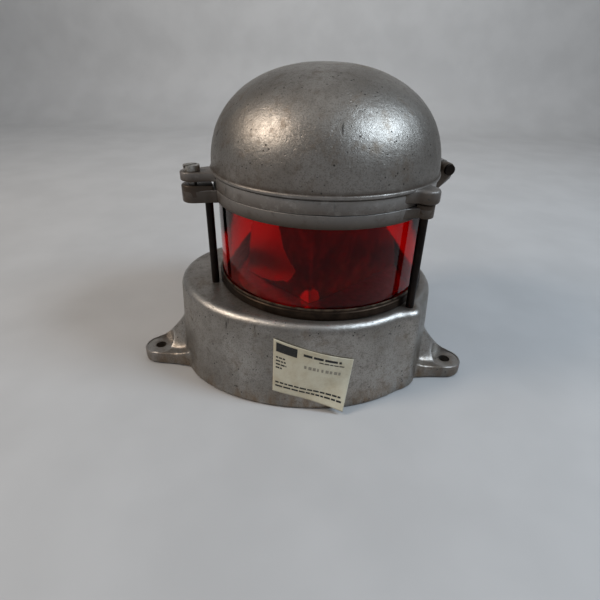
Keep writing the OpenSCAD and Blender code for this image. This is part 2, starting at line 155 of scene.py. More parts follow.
def revolve(name, profile, segments=192, centre=(0, 0)):
    """A closed ring of profile points (radius, z) turned about a vertical axis."""
    verts, faces = [], []
    count = len(profile)
    for i in range(segments):
        a = 2 * math.pi * i / segments
        for r, z in profile:
            verts.append((centre[0] + r * math.cos(a), centre[1] + r * math.sin(a), z))
    for i in range(segments):
        j = (i + 1) % segments
        for k in range(count):
            m = (k + 1) % count
            faces.append((i * count + k, j * count + k, j * count + m, i * count + m))
    obj = add_object(name, verts, faces)
    bm = bmesh.new()
    bm.from_mesh(obj.data)
    bmesh.ops.remove_doubles(bm, verts=bm.verts, dist=1e-6)
    bmesh.ops.recalc_face_normals(bm, faces=bm.faces)
    bm.to_mesh(obj.data)
    bm.free()
    return obj


def rounded(points, radius, steps=4):
    """The closed outline with its corners rounded; radius is one value or one per corner."""
    out = []
    count = len(points)
    for i in range(count):
        p = np.array(points[i], float)
        a = np.array(points[i - 1], float)
        b = np.array(points[(i + 1) % count], float)
        r = radius[i] if isinstance(radius, (list, tuple)) else radius
        u, v = a - p, b - p
        lu, lv = np.linalg.norm(u), np.linalg.norm(v)
        cut = min(r, lu * 0.45, lv * 0.45)
        if cut < 0.02:
            out.append(tuple(p))
            continue
        start, end = p + u / lu * cut, p + v / lv * cut
        for k in range(steps + 1):
            t = k / steps
            q = (1 - t) ** 2 * start + 2 * t * (1 - t) * p + t * t * end
            out.append(tuple(q))
    return out


def prism(name, outline, low, high, bevel=0.8):
    """An upright prism with softened edges."""
    n = len(outline)
    verts = [(x, y, low) for x, y in outline] + [(x, y, high) for x, y in outline]
    faces = [tuple(range(n))[::-1], tuple(range(n, 2 * n))]
    faces += [(i, (i + 1) % n, n + (i + 1) % n, n + i) for i in range(n)]
    obj = add_object(name, verts, faces)
    bm = bmesh.new()
    bm.from_mesh(obj.data)
    bmesh.ops.recalc_face_normals(bm, faces=bm.faces)
    rims = [e for e in bm.edges if e.calc_face_angle(0) > math.radians(35)]
    bmesh.ops.bevel(bm, geom=rims, offset=bevel * MM, segments=3, profile=0.5, affect="EDGES")
    bm.to_mesh(obj.data)
    bm.free()
    return obj


def polar_frame(angle, radius=0, z=0):
    a = math.radians(angle)
    spin = Matrix.Rotation(a, 4, "Z")
    place = Vector((LENS_X + radius * math.cos(a), LENS_Y + radius * math.sin(a), z)) * MM
    return Matrix.Translation(place) @ spin


def bake_transform(obj, matrix):
    obj.data.transform(matrix)
    obj.data.update()
    return obj


def join(name, parts):
    """One mesh object made of several."""
    bm = bmesh.new()
    for part in parts:
        bm.from_mesh(part.data)
    mesh = bpy.data.meshes.new(name)
    bm.to_mesh(mesh)
    bm.free()
    for part in parts:
        bpy.data.objects.remove(part)
    obj = bpy.data.objects.new(name, mesh)
    bpy.context.scene.collection.objects.link(obj)
    mesh.polygons.foreach_set("use_smooth", [True] * len(mesh.polygons))
    return obj


def apply_modifiers(obj):
    graph = bpy.context.evaluated_depsgraph_get()
    graph.update()
    mesh = bpy.data.meshes.new_from_object(obj.evaluated_get(graph))
    obj.modifiers.clear()
    obj.data = mesh
    return obj


def sharpen(obj, degrees=32):
    """Smooth shading with edges sharper than this kept crisp."""
    obj.data.polygons.foreach_set("use_smooth", [True] * len(obj.data.polygons))
    bm = bmesh.new()
    bm.from_mesh(obj.data)
    for e in bm.edges:
        e.smooth = e.calc_face_angle(0) < math.radians(degrees)
    bm.to_mesh(obj.data)
    bm.free()


def carve(obj, cutters):
    for cutter in cutters:
        mod = obj.modifiers.new("carve", "BOOLEAN")
        mod.operation = "DIFFERENCE"
        mod.solver = "EXACT"
        mod.object = cutter
    apply_modifiers(obj)
    for cutter in cutters:
        bpy.data.objects.remove(cutter)


def rod_cutter(x, y, low, high, radius, segments=48):
    bm = bmesh.new()
    bmesh.ops.create_cone(
        bm, cap_ends=True, segments=segments, radius1=radius * MM, radius2=radius * MM,
        depth=(high - low) * MM,
        matrix=Matrix.Translation(Vector((x, y, (low + high) / 2)) * MM),
    )
    mesh = bpy.data.meshes.new("cutter")
    bm.to_mesh(mesh)
    bm.free()
    obj = bpy.data.objects.new("cutter", mesh)
    bpy.context.scene.collection.objects.link(obj)
    return obj


def roughen(obj, amounts):
    """Small cast unevenness: (millimetres, feature size in millimetres) pairs."""
    mesh = obj.data
    count = len(mesh.vertices)
    co = np.empty(count * 3)
    no = np.empty(count * 3)
    mesh.vertices.foreach_get("co", co)
    mesh.vertices.foreach_get("normal", no)
    co, no = co.reshape(-1, 3), no.reshape(-1, 3)
    shift = np.zeros(count)
    for depth, size in amounts:
        shift += depth * MM * np.array([noise.noise(Vector(c) / (size * MM)) for c in co])
    mesh.vertices.foreach_set("co", (co + no * shift[:, None]).ravel())
    mesh.update()


def set_attribute(obj, name, values):
    attribute = obj.data.attributes.new(name, "FLOAT", "POINT")
    attribute.data.foreach_set("value", np.asarray(values, np.float32))


def coords_mm(obj):
    co = np.empty(len(obj.data.vertices) * 3)
    obj.data.vertices.foreach_get("co", co)
    return co.reshape(-1, 3) / MM


def from_lens_axis(co):
    return np.hypot(co[:, 0] - LENS_X, co[:, 1] - LENS_Y)


def stripe(values, centre, width):
    """1 at the centre value, falling to 0 over the width."""
    return np.exp(-(((values - centre) / width) ** 2))


def arc_points(x, z, radius, start, stop, step=15):
    """Points on an arc, in degrees from start to before stop."""
    return [(x + radius * math.cos(math.radians(t)), z + radius * math.sin(math.radians(t)))
            for t in range(start, stop, step)]


# ---------- materials ----------


class Nodes:
    """A small helper for building one material's node tree."""

    def __init__(self, name):
        self.material = bpy.data.materials.new(name)
        self.material.use_nodes = True
        self.tree = self.material.node_tree
        self.shader = self.tree.nodes["Principled BSDF"]
        self.coords = self.tree.nodes.new("ShaderNodeTexCoord").outputs["Object"]

    def set(self, **values):
        for key, value in values.items():
            self.shader.inputs[key.replace("_", " ")].default_value = value

    def link(self, a, b):
        self.tree.links.new(a, b)

    def noise(self, scale_mm, detail=4, roughness=0.6, stretch=None):
        node = self.tree.nodes.new("ShaderNodeTexNoise")
        node.inputs["Scale"].default_value = 1 / (scale_mm * MM)
        node.inputs["Detail"].default_value = detail
        node.inputs["Roughness"].default_value = roughness
        self.link(self.stretched(stretch), node.inputs["Vector"])
        return node.outputs["Fac"]

    def cells(self, scale_mm, stretch=None):
        node = self.tree.nodes.new("ShaderNodeTexVoronoi")
        node.inputs["Scale"].default_value = 1 / (scale_mm * MM)
        self.link(self.stretched(stretch), node.inputs["Vector"])
        return node.outputs["Distance"]

    def stretched(self, stretch):
        if stretch is None:
            return self.coords
        node = self.tree.nodes.new("ShaderNodeMapping")
        node.inputs["Scale"].default_value = stretch
        self.link(self.coords, node.inputs["Vector"])
        return node.outputs["Vector"]

    def axis(self, letter):
        node = self.tree.nodes.new("ShaderNodeSeparateXYZ")
        self.link(self.coords, node.inputs[0])
        return node.outputs[letter]

    def attribute(self, name):
        node = self.tree.nodes.new("ShaderNodeAttribute")
        node.attribute_name = name
        return node.outputs["Fac"]

    def ramp(self, value, low, high, out_low=0.0, out_high=1.0):
        node = self.tree.nodes.new("ShaderNodeMapRange")
        node.interpolation_type = "SMOOTHSTEP"
        node.inputs["From Min"].default_value = low
        node.inputs["From Max"].default_value = high
        node.inputs["To Min"].default_value = out_low
        node.inputs["To Max"].default_value = out_high
        self.link(value, node.inputs["Value"])
        return node.outputs["Result"]

    def math(self, kind, a, b=None):
        node = self.tree.nodes.new("ShaderNodeMath")
        node.operation = kind
        for socket, value in zip(node.inputs, (a, b)):
            if value is None:
                continue
            if isinstance(value, (int, float)):
                socket.default_value = value
            else:
                self.link(value, socket)
        return node.outputs[0]

    def mix(self, factor, a, b):
        node = self.tree.nodes.new("ShaderNodeMix")
        node.data_type = "RGBA"
        for index, value in ((0, factor), (6, a), (7, b)):
            socket = node.inputs[index]
            if isinstance(value, (int, float)):
                socket.default_value = value
            elif isinstance(value, tuple):
                socket.default_value = (*value, 1)
            else:
                self.link(value, socket)
        return node.outputs[2]

    def bump(self, layers):
        """Bump from (height value, depth in millimetres) pairs."""
        last = None
        for value, depth in layers:
            node = self.tree.nodes.new("ShaderNodeBump")
            node.inputs["Strength"].default_value = 1
            node.inputs["Distance"].default_value = depth * MM
            self.link(value, node.inputs["Height"])
            if last is not None:
                self.link(last, node.inputs["Normal"])
            last = node.outputs["Normal"]
        self.link(last, self.shader.inputs["Normal"])

    def colour(self, value):
        self.link(value, self.shader.inputs["Base Color"])

    def rough(self, value):
        self.link(value, self.shader.inputs["Roughness"])


def cast_metal(name, light=(0.43, 0.405, 0.375), dark=(0.26, 0.24, 0.215), stain_z=0.0, wear_and_highlight=True,
               grime_and_shade=False):
    """Old sand-cast aluminium: stain_z is the height of the rust stains; worn edges (partly painted
    highlights) and grime (partly painted shade) come from attributes.
    """
    m = Nodes(name)
    m.set(Metallic=1.0, Roughness=0.45)
    # broad tones, mottling, fine grain and brown patches
    patches = m.noise(55, 4, 0.6)
    grain = m.noise(1.1, 3, 0.75)
    mottle = m.noise(6, 5, 0.7)
    base = m.mix(m.ramp(patches, 0.3, 0.72), dark, light)
    base = m.mix(m.ramp(mottle, 0.48, 0.72, 0, 0.55), base, (0.17, 0.15, 0.13))
    base = m.mix(m.ramp(grain, 0.48, 0.68, 0, 0.6), base, (0.12, 0.108, 0.095))
    brown = m.noise(24, 5, 0.72)
    base = m.mix(m.ramp(brown, 0.5, 0.74, 0, 0.5), base, (0.22, 0.165, 0.115))
    if stain_z:
        height = m.ramp(m.axis("Z"), 0.0, stain_z * MM, 1.0, 0.0)
        streaks = m.noise(9, 5, 0.7, (1, 1, 0.35))
        stain = m.math("MULTIPLY", height, m.ramp(streaks, 0.35, 0.66))
        base = m.mix(m.math("MULTIPLY", stain, 0.75), base, (0.2, 0.125, 0.065))
    # grime darkens and browns the metal, and on the hood's lower dome this is partly painted shade
    if grime_and_shade:
        dirt_and_shade = m.math("MULTIPLY", m.attribute("grime_and_shade"), m.ramp(m.noise(10, 5, 0.7), 0.15, 0.52))
        base = m.mix(m.math("MULTIPLY", dirt_and_shade, 0.95), base, (0.062, 0.042, 0.028))
        m.link(m.math("SUBTRACT", 1.0, m.math("MULTIPLY", dirt_and_shade, 0.6)), m.shader.inputs["Metallic"])
    # black pits and scrapes
    specks = m.cells(4.2)
    speck_mask = m.ramp(specks, 0.1, 0.2, 1.0, 0.0)
    some = m.ramp(m.noise(15, 3, 0.6), 0.5, 0.58)
    speck_mask = m.math("MULTIPLY", speck_mask, some)
    scrapes = m.math("MULTIPLY", m.ramp(m.noise(3.4, 2, 0.5, (1, 0.5, 0.09)), 0.67, 0.72),
                     m.ramp(m.noise(30, 2, 0.5), 0.54, 0.6))
    speck_mask = m.math("MAXIMUM", speck_mask, m.math("MULTIPLY", scrapes, 0.7))
    base = m.mix(m.math("MULTIPLY", speck_mask, 0.9), base, (0.02, 0.018, 0.016))
    rough = m.ramp(patches, 0.3, 0.7, 0.44, 0.37)
    rough = m.math("ADD", rough, m.ramp(mottle, 0.4, 0.8, -0.03, 0.08))
    # worn edges made bright and smoother; along the base's shoulder this is partly a painted highlight
    if wear_and_highlight:
        polish_and_highlight = m.attribute("wear_and_highlight")
        broken = m.ramp(m.noise(7, 3, 0.6), 0.22, 0.5, 0.45, 1.0)
        polish_and_highlight = m.math("MULTIPLY", polish_and_highlight, broken)
        base = m.mix(polish_and_highlight, base, (0.78, 0.77, 0.75))
        rough = m.math("SUBTRACT", rough, m.math("MULTIPLY", polish_and_highlight, 0.15))
    m.colour(base)
    m.rough(rough)
    m.bump([
        (m.noise(0.8, 3, 0.75), 0.13),
        (m.noise(2.6, 4, 0.6), 0.2),
        (m.ramp(specks, 0.05, 0.18), 0.1),
        (m.noise(14, 3, 0.5), 0.3),
    ])
    return m.material


def plain_metal(name, colour, second, roughness, scale=3.0, depth=0.05, metallic=1.0):
    m = Nodes(name)
    m.set(Metallic=metallic, Roughness=roughness)
    spots = m.noise(scale, 5, 0.65)
    m.colour(m.mix(m.ramp(spots, 0.35, 0.7), colour, second))
    m.rough(m.ramp(spots, 0.3, 0.75, roughness - 0.06, roughness + 0.14))
    m.bump([(m.noise(scale * 0.25, 3, 0.6), depth), (m.noise(scale, 3, 0.6), depth * 2)])
    return m.material


def dark_metal(name):
    """Nearly black metal with rusty flecks."""
    m = Nodes(name)
    m.set(Metallic=0.5, Roughness=0.5, Specular_IOR_Level=0.16)
    broad = m.noise(14, 5, 0.65)
    fine = m.noise(1.8, 4, 0.7)
    base = m.mix(m.ramp(broad, 0.35, 0.7), (0.008, 0.005, 0.004), (0.02, 0.013, 0.009))
    base = m.mix(m.ramp(fine, 0.56, 0.8, 0, 0.6), base, (0.045, 0.027, 0.017))
    m.colour(base)
    m.rough(m.ramp(fine, 0.3, 0.75, 0.34, 0.6))
    m.bump([(fine, 0.12), (m.noise(0.8, 3, 0.7), 0.05)])
    return m.material


def ring_metal(name):
    """The lower ring: dark brown, its top edge painted brighter as a highlight and as worn metal."""
    m = Nodes(name)
    m.set(Metallic=0.9, Roughness=0.42)
    broad = m.noise(12, 5, 0.65)
    fine = m.noise(1.6, 4, 0.7)
    base = m.mix(m.ramp(broad, 0.3, 0.7), (0.014, 0.009, 0.006), (0.042, 0.027, 0.018))
    base = m.mix(m.ramp(fine, 0.56, 0.8, 0, 0.6), base, (0.11, 0.07, 0.042))
    # a brighter band along the top edge: a painted highlight, with some worn metal
    edge = m.ramp(m.axis("Z"), (low_ring_high[2] - 1.6) * MM, (low_ring_high[2] - 0.7) * MM)
    edge = m.math("MULTIPLY", edge, m.ramp(m.noise(6, 4, 0.6), 0.3, 0.6))
    base = m.mix(m.math("MULTIPLY", edge, 0.8), base, (0.16, 0.115, 0.08))
    m.colour(base)
    m.rough(m.ramp(fine, 0.3, 0.75, 0.34, 0.56))
    m.bump([(fine, 0.08), (broad, 0.2)])
    return m.material


def red_glass(name):
    """Red tube: the surface tints it, and the depth of glass darkens its edges."""
    m = Nodes(name)
    m.set(Transmission_Weight=1.0, IOR=1.49, Roughness=0.02, Specular_Tint=(0.5, 0.28, 0.28, 1))
    haze = m.noise(26, 4, 0.6)
    m.colour(m.mix(m.ramp(haze, 0.35, 0.7), (0.93, 0.013, 0.015), (0.87, 0.016, 0.018)))
    depth = m.tree.nodes.new("ShaderNodeVolumeAbsorption")
    depth.inputs["Color"].default_value = (0.86, 0.05, 0.07, 1)
    depth.inputs["Density"].default_value = 90
    m.link(depth.outputs["Volume"], m.tree.nodes["Material Output"].inputs["Volume"])
    scratches = m.noise(1.3, 4, 0.8, (1, 1, 0.12))
    dust = m.noise(2.2, 4, 0.75)
    m.rough(m.math("ADD", m.ramp(scratches, 0.62, 0.75, 0.015, 0.1), m.ramp(dust, 0.6, 0.8, 0, 0.08)))
    m.bump([(scratches, 0.01), (m.noise(30, 2, 0.5), 0.12)])
    return m.material


def clear_glass(name):
    m = Nodes(name)
    m.set(Transmission_Weight=1.0, IOR=1.5, Roughness=0.03)
    dust = m.noise(5, 4, 0.6)
    m.colour(m.mix(m.ramp(dust, 0.4, 0.8), (0.96, 0.97, 0.96), (0.85, 0.86, 0.84)))
    m.rough(m.ramp(dust, 0.4, 0.8, 0.02, 0.12))
    m.bump([(m.noise(8, 2, 0.5), 0.02)])
    return m.material


def sheet_with_painted_light(name):
    """Painted lamp light where the attribute marks the lit patch, bright bare colour standing for light
    through the red lens; sooted black sheet elsewhere, its edges against the patch painted shadow.
    """
    m = Nodes(name)
    m.set(Metallic=1.0, Roughness=0.3)
    dirt_and_shade = m.noise(12, 5, 0.65)
    ragged = m.math("ADD", m.attribute("painted_light"), m.ramp(dirt_and_shade, 0.3, 0.7, -0.9, 0.9))
    painted_light = m.ramp(ragged, -0.5, 0.5)
    # painted light: the colour of the lamp-lit patch
    lit_colour = m.mix(m.ramp(dirt_and_shade, 0.45, 0.75), (0.97, 0.96, 0.95), (0.86, 0.83, 0.79))
    black = m.mix(m.ramp(dirt_and_shade, 0.4, 0.7), (0.085, 0.072, 0.078), (0.21, 0.175, 0.175))
    m.colour(m.mix(painted_light, black, lit_colour))
    m.rough(m.math("ADD", m.ramp(painted_light, 0, 1, 0.36, 0.33), m.ramp(dirt_and_shade, 0.4, 0.8, 0, 0.08)))
    m.bump([(m.noise(22, 2, 0.5), 0.25), (m.noise(1.5, 3, 0.6), 0.01)])
    return m.material


def soft_plastic(name, colour, second, roughness, depth=0.04, scale=2.0):
    m = Nodes(name)
    m.set(Metallic=0.0, Roughness=roughness)
    spots = m.noise(scale, 4, 0.65)
    m.colour(m.mix(m.ramp(spots, 0.35, 0.75), colour, second))
    m.rough(m.ramp(spots, 0.3, 0.8, roughness - 0.05, roughness + 0.12))
    m.bump([(m.noise(scale * 0.4, 3, 0.6), depth)])
    return m.material


def paper(name):
    m = Nodes(name)
    m.set(Metallic=0.0, Roughness=0.7)
    fibre = m.noise(1.2, 5, 0.75)
    age = m.noise(16, 5, 0.65)
    base = m.mix(m.ramp(age, 0.35, 0.75), (0.7, 0.65, 0.5), (0.56, 0.48, 0.33))
    base = m.mix(m.ramp(fibre, 0.5, 0.8, 0, 0.35), base, (0.43, 0.36, 0.25))
    m.colour(base)
    m.rough(m.ramp(fibre, 0.3, 0.8, 0.6, 0.8))
    m.bump([(fibre, 0.02), (m.noise(9, 3, 0.6), 0.12)])
    return m.material


def ink(name, colour, second):
    m = Nodes(name)
    m.set(Metallic=0.0, Roughness=0.55)
    worn = m.noise(0.9, 4, 0.8)
    m.colour(m.mix(m.ramp(worn, 0.5, 0.72), colour, second))
    m.rough(m.ramp(worn, 0.3, 0.8, 0.5, 0.7))
    m.bump([(worn, 0.01)])
    return m.material


MATERIALS = {
    "cast_aluminium": cast_metal("cast_aluminium", wear_and_highlight=False),
    "plate_steel": plain_metal("plate_steel", (0.4, 0.4, 0.39), (0.28, 0.27, 0.25), 0.42, 6),
    "rubber_seal": soft_plastic("rubber_seal", (0.02, 0.02, 0.02), (0.045, 0.043, 0.04), 0.75, 0.08),
    "bright_screws": plain_metal("bright_screws", (0.5, 0.49, 0.46), (0.22, 0.19, 0.16), 0.38, 2.2, 0.06),
    "green_screw": plain_metal("green_screw", (0.05, 0.22, 0.08), (0.1, 0.28, 0.12), 0.4, 2),
    "brass": plain_metal("brass", (0.55, 0.4, 0.16), (0.3, 0.2, 0.09), 0.36, 4),
    "phenolic": soft_plastic("phenolic", (0.03, 0.024, 0.02), (0.06, 0.05, 0.04), 0.5),
    "wire_insulation": soft_plastic("wire_insulation", (0.03, 0.03, 0.032), (0.06, 0.06, 0.06), 0.55),
    "dark_bronze": dark_metal("dark_bronze"),
    "red_glass": red_glass("red_glass"),
    "ceramic": soft_plastic("ceramic", (0.74, 0.71, 0.64), (0.62, 0.58, 0.5), 0.28, 0.03, 6),
    "clear_glass": clear_glass("clear_glass"),
    "tungsten": plain_metal("tungsten", (0.3, 0.3, 0.3), (0.2, 0.2, 0.2), 0.4, 1),
    "black_sheet": sheet_with_painted_light("black_sheet"),
    "label_paper": paper("label_paper"),
}
RING_METAL = ring_metal("lower_ring_metal")
SLOTS = {s["node"]: s["material_slot"] for s in frame["record"]["subparts"]}


def dress(obj, material):
    obj.data.materials.clear()
    obj.data.materials.append(material)


for node_name, node in frame["nodes"].items():
    dress(node, MATERIALS[SLOTS[node_name]])
    soften = node.modifiers.new("soften", "BEVEL")
    soften.width = 0.25 * MM
    soften.segments = 2
    soften.limit_method = "ANGLE"
    soften.angle_limit = math.radians(40)
    soften.harden_normals = False

# ---------- base casting ----------

TOP_LEVEL = 76.0


def smooth_min(a, b, k):
    h = np.clip(0.5 + 0.5 * (b - a) / k, 0, 1)
    return b * (1 - h) + a * h - k * h * (1 - h)


def base_distance(x, y, level):
    """Signed distance, roughly, to the base's outline at a height from 0 (floor) to 1 (top)."""

    def mix(a, b):
        return a + (b - a) * level

    half_w, half_d = mix(108, 109.5), mix(73, 91.5)
    centre_y = mix(10, 36)
    ratio = np.hypot(x / half_w, (y - centre_y) / half_d)
    d = (ratio - 1) * half_d
    d = smooth_min(d, np.hypot(x - LENS_X, y - LENS_Y) - mix(101, 98), 8)
    for side in (-1, 1):
        d = smooth_min(d, np.hypot(x - side * mix(44, 46), y - 38) - mix(70, 65), 6)
    for a in LUG_ROD_ANGLES:
        cx = LENS_X + ROD_CIRCLE * math.cos(math.radians(a))
        cy = LENS_Y + ROD_CIRCLE * math.sin(math.radians(a))
        d = smooth_min(d, np.hypot(x - cx, y - cy) - 10.5, 9)
    return d


RING_STEPS = 420
BASE_CENTRE = (5.0, 38.0)
angles = np.linspace(0, 2 * math.pi, RING_STEPS, endpoint=False)


def base_ring(z, inset):
    """One closed ring of the base's wall at height z, inset inwards."""
    level = min(max(z / TOP_LEVEL, 0), 1)
    low = np.full(RING_STEPS, 20.0)
    high = np.full(RING_STEPS, 170.0)
    for _ in range(30):
        mid = (low + high) / 2
        x = BASE_CENTRE[0] + mid * np.cos(angles)
        y = BASE_CENTRE[1] + mid * np.sin(angles)
        inside = base_distance(x, y, level) < -inset
        low = np.where(inside, mid, low)
        high = np.where(inside, high, mid)
    mid = (low + high) / 2
    return [
        (BASE_CENTRE[0] + r * math.cos(a), BASE_CENTRE[1] + r * math.sin(a), z)
        for r, a in zip(mid, angles)
    ]


def hole_ring(z, radius):
    """A ring round the lens axis, its points lined up with the wall's."""
    return [(LENS_X + radius * math.cos(a), LENS_Y + radius * math.sin(a), z) for a in angles]


def between(ring_a, ring_b, t):
    return [tuple(np.array(p) * (1 - t) + np.array(q) * t) for p, q in zip(ring_a, ring_b)]


SHOULDER = 7.0
ROOF_Z = TOP_LEVEL - 7
WALL_INSET = 5.5
LEDGE_INSET = 13.4
SOCKET_HOLE_R = 24
rings = [base_ring(0.0, 1.2), base_ring(0.5, 0.4), base_ring(1.6, 0.0)]
rings += [base_ring(z, 0.0) for z in np.linspace(6, TOP_LEVEL - SHOULDER, 12)]
for step in range(1, 9):
    a = math.radians(90 * step / 8)
    rings.append(base_ring(TOP_LEVEL - SHOULDER * (1 - math.sin(a)), SHOULDER * 0.9 * (1 - math.cos(a))))
rim = rings[-1]
top_hole = hole_ring(TOP_LEVEL, SOCKET_HOLE_R)
rings += [between(rim, top_hole, t) for t in (0.15, 0.3, 0.5, 0.7, 0.85)]
rings.append(top_hole)
roof_hole = hole_ring(ROOF_Z, SOCKET_HOLE_R)
rings.append(roof_hole)
roof_edge = base_ring(ROOF_Z, 11.5)
rings += [between(roof_hole, roof_edge, t) for t in (0.3, 0.7)]
rings.append(roof_edge)
rings += [base_ring(ROOF_Z - 4, 6.5), base_ring(40, WALL_INSET), base_ring(10.5, WALL_INSET)]
rings += [base_ring(10.4, LEDGE_INSET), base_ring(6.5, LEDGE_INSET)]
rings += [base_ring(6.4, WALL_INSET), base_ring(0.3, WALL_INSET)]

verts = [p for ring in rings for p in ring]
faces = []
for i in range(len(rings)):
    j = (i + 1) % len(rings)
    for k in range(RING_STEPS):
        m = (k + 1) % RING_STEPS
        faces.append((i * RING_STEPS + k, i * RING_STEPS + m, j * RING_STEPS + m, j * RING_STEPS + k))
shell = add_object("base_shell", verts, faces)
recalc(shell)


def wall_x(y):
    """The base's right-hand wall near the floor."""
    low, high = 60.0, 130.0
    for _ in range(24):
        mid = (low + high) / 2
        if base_distance(mid, y, 0.15) < 0:
            low = mid
        else:
            high = mid
    return low


def ear_top(s, y):
    """Height of an ear's top at a distance s from the middle: a pad, and a gusset rising at its rear."""
    front = EAR_Z + 4 * min(max((119 - s) / 18, 0), 1) ** 2
    rear = EAR_Z + 29 * min(max((140 - s) / 33, 0), 1) ** 1.7
    w = min(max((y + 8) / 18, 0), 1)
    w = w * w * (3 - 2 * w)
    return front + (rear - front) * w


def ear_body(side):
    """One ear: a grid fanning out from the wall to the round end, closed underneath."""
    across, along = 40, 44
    end_r = EAR_R - 0.2
    verts, faces = [], []
    for level in (0, 1):
        for i in range(across + 1):
            t = i / across
            y_root = -18 + 42 * t
            s_root = wall_x(y_root) - 4
            phi = math.radians(-90 + 180 * t)
            s_end, y_end = EAR_X + end_r * math.cos(phi), end_r * math.sin(phi)
            for j in range(along + 1):
                u = j / along
                x = s_root + (s_end - s_root) * u
                y = y_root + (y_end - y_root) * (1 - (1 - u) ** 2)
                z = ear_top(x, y) if level else 0.4
                verts.append((side * x, y, z))
    row = along + 1
    sheet = (across + 1) * row
    for i in range(across):
        for j in range(along):
            quad = (i * row + j, i * row + j + 1, (i + 1) * row + j + 1, (i + 1) * row + j)
            faces += [quad, tuple(k + sheet for k in quad)]
    border = [j for j in range(row)]
    border += [i * row + along for i in range(1, across + 1)]
    border += [across * row + j for j in range(along - 1, -1, -1)]
    border += [i * row for i in range(across - 1, 0, -1)]
    for a, b in zip(border, border[1:] + border[:1]):
        faces.append((a, b, b + sheet, a + sheet))
    obj = add_object("ear", verts, faces)
    recalc(obj)
    return obj


boss_angles = np.linspace(0, 2 * math.pi, 48, endpoint=False)
boss_outline = [(GLAND_BOSS_R * math.cos(a), GLAND_BOSS_R * math.sin(a)) for a in boss_angles]
gland_boss = prism("boss", boss_outline, 0, GLAND_BOSS_LENGTH)
boss_place = Matrix.Translation(Vector(GLAND_BOSS_PLACE) * MM)
bake_transform(gland_boss, boss_place @ Matrix.Rotation(-math.pi / 2, 4, "X"))

base = join("base_body", [shell, ear_body(-1), ear_body(1), gland_boss])
mod = base.modifiers.new("fuse", "REMESH")
mod.mode = "VOXEL"
mod.voxel_size = 1.3 * MM
mod.use_smooth_shade = True
mod = base.modifiers.new("soften", "SMOOTH")
mod.factor = 0.5
mod.iterations = 7
apply_modifiers(base)
cutters = []
for side in (-1, 1):
    cutters.append(rod_cutter(side * EAR_X, 0, -2, 40, EAR_HOLE_R))
    cutters.append(rod_cutter(side * EAR_X, 0, EAR_Z - 0.7, 60, SPOT_FACE_R, 64))
carve(base, cutters)
roughen(base, [(0.3, 30), (0.1, 9)])
sharpen(base, 40)
co = coords_mm(base)
level = np.clip(co[:, 2] / TOP_LEVEL, 0, 1)
edge = base_distance(co[:, 0], co[:, 1], level)
# brighter colour along the base's shoulder: partly worn edge, partly a painted highlight; the spot-face
# rims on the ears are worn edges
near_shoulder = stripe(edge, -2.6, 1.9) * np.clip((co[:, 2] - 70) / 3, 0, 1)
ear_edge = stripe(np.hypot(np.abs(co[:, 0]) - EAR_X, co[:, 1]), 12.9, 0.9)
ear_edge *= (co[:, 2] > 9) * 0.5
set_attribute(base, "wear_and_highlight", np.clip(0.3 * near_shoulder + 0.6 * ear_edge, 0, 1))
on_top = np.clip((co[:, 2] - 74.5) / 1.2, 0, 1)
near_ring = np.exp(-np.clip(from_lens_axis(co) - LOW_RING_R + 1, 0, 60) / 9)
on_ear = np.clip((np.abs(co[:, 0]) - 112) / 8, 0, 1) * 0.3
set_attribute(base, "grime_and_shade", np.clip(on_top * (0.2 + 0.4 * near_ring) + on_ear, 0, 1))
dress(base, cast_metal("cast_base", stain_z=24, grime_and_shade=True))
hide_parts("base_casting")
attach(base, "light_body")

# ---------- hood ----------


def dome_curve(radius, height, low, steps):
    out = []
    for i in range(steps + 1):
        t = math.pi / 2 * i / steps
        e = 2 / DOME_POWER
        out.append((radius * max(math.cos(t), 0) ** e, low + height * math.sin(t) ** e))
    return out


outer = rounded(
    [(HOOD_BORE_R, HOOD_LOW), (FLANGE_R, HOOD_LOW), (FLANGE_R, FLANGE_TOP),
     (FLANGE_R - 0.7, FLANGE_TOP + 0.5), (FLANGE_R - 0.7, FLANGE_TOP + 0.9),
     (DOME_R + 0.8, FLANGE_TOP + 1.2), (DOME_R + 1.4, FLANGE_TOP + 3.0), (DOME_R + 0.4, BEAD_TOP - 0.2)],
    [0.3, 0.9, 0.9, 0.4, 0.4, 1.2, 1.3, 0.4], 4)
profile = outer + dome_curve(DOME_R, HOOD_TOP - BEAD_TOP, BEAD_TOP, 60)[:-1] + [(0.02, HOOD_TOP)]
inner = dome_curve(DOME_R - DOME_WALL, HOOD_TOP - BEAD_TOP - DOME_WALL, BEAD_TOP, 40)
profile += [(0.02, inner[-1][1])] + inner[-2::-1]
profile += [(HOOD_BORE_R + 1, FLANGE_TOP), (HOOD_BORE_R, FLANGE_TOP - 2)]
hood_turned = revolve("hood_turned", profile, 256, (LENS_X, LENS_Y))


def lug_outline(start, centre, radius, flare):
    """A lug seen from above: a round end, and a root that flares into the band."""
    side = []
    for k in range(9):
        t = k / 8
        side.append((start + (centre - start) * t * 0.96, radius + flare * (1 - t) ** 1.6))
    end = []
    for k in range(1, 16):
        a = math.radians(-90 + 180 * k / 16)
        end.append((centre + radius * math.cos(a), radius * math.sin(a)))
    return [(x, -y) for x, y in side] + end + side[::-1]


def add_lug(parts, angle, outline, low, high, bevel):
    """A lug at an angle about the lens axis, its outline drawn along +X."""
    lug = prism("lug", outline, low, high, bevel)
    parts.append(bake_transform(lug, polar_frame(angle)))


def radial_plate(name, outline, half_width, bevel=0.8):
    """A plate standing in the radial plane: the outline is (radius, z)."""
    plate = prism(name, outline, -half_width, half_width, bevel)
    turn = Matrix(((1, 0, 0, 0), (0, 0, -1, 0), (0, 1, 0, 0), (0, 0, 0, 1)))
    return bake_transform(plate, turn)


